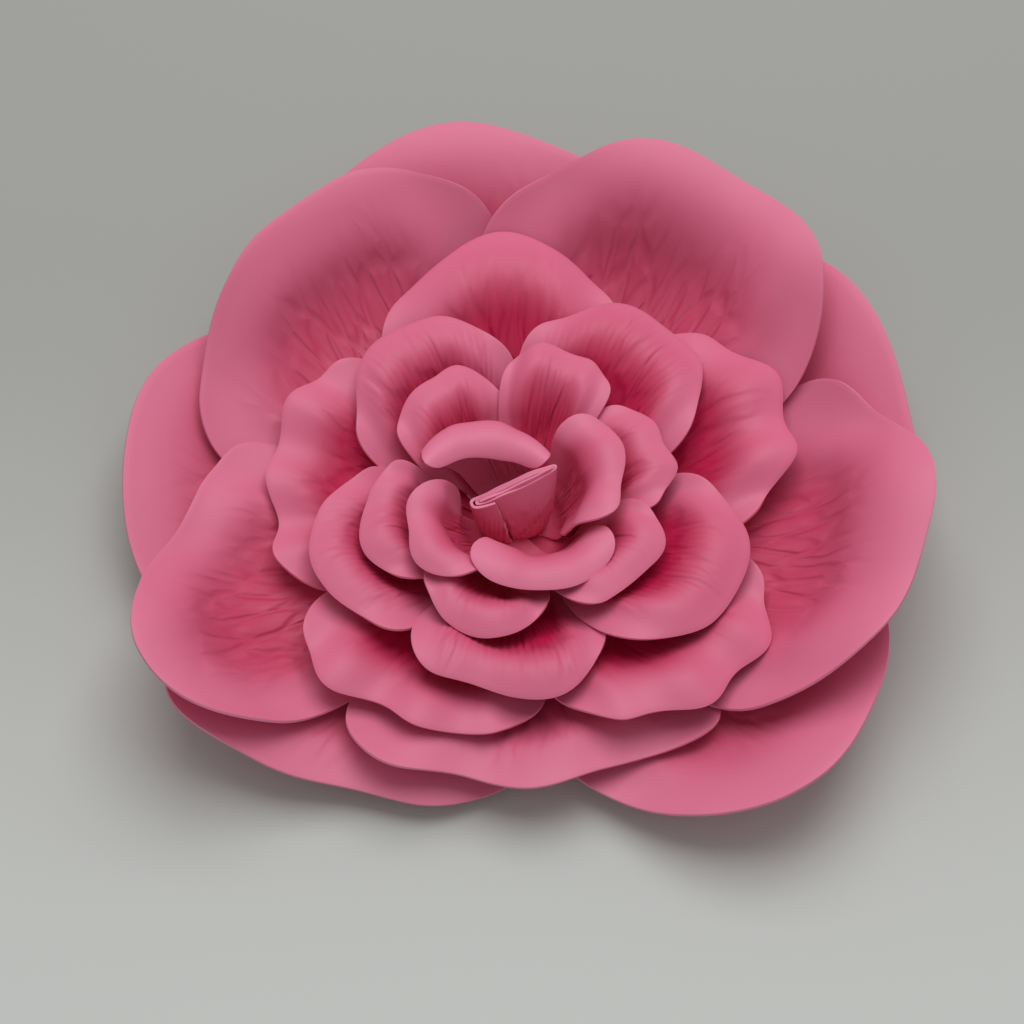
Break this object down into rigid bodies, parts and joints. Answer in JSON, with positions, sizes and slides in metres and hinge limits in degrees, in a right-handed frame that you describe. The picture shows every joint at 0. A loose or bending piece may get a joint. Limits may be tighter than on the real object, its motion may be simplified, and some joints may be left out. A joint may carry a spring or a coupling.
{
  "type": "giant paper flower",
  "caption": "Large layered rose-like craft flower with rings of cupped foam petals round a rolled bud, glued to a round backing disc",
  "frame": {"origin": "middle of the backing disc's flat back", "axes": "+Z is the flower's axis, out of its face; +X is to the right and +Y to the top of the flower as it is seen from in front"},
  "size_m": [0.4023, 0.3925, 0.083],
  "materials": {
    "foam": "satin heat-moulded foam sheet, pink, with fine pressed wrinkles"
  },
  "bodies": {
    "root": {"backing_disc": "foam", "back_petal_1": "foam", "back_petal_2": "foam", "back_petal_3": "foam", "back_petal_4": "foam", "back_petal_5": "foam", "outer_petal_1": "foam", "outer_petal_2": "foam", "outer_petal_3": "foam", "outer_petal_4": "foam", "outer_petal_5": "foam", "middle_petal_1": "foam", "middle_petal_2": "foam", "middle_petal_3": "foam", "middle_petal_4": "foam", "middle_petal_5": "foam", "inner_petal_1": "foam", "inner_petal_2": "foam", "inner_petal_3": "foam", "inner_petal_4": "foam", "inner_petal_5": "foam", "heart_petal_1": "foam", "heart_petal_2": "foam", "heart_petal_3": "foam", "heart_petal_4": "foam", "heart_petal_5": "foam", "heart_petal_6": "foam", "bud_petal_1": "foam", "cup_petal_1": "foam", "cup_petal_2": "foam", "hood_petal_1": "foam", "bud_roll": "foam"}
  },
  "joints": []
}
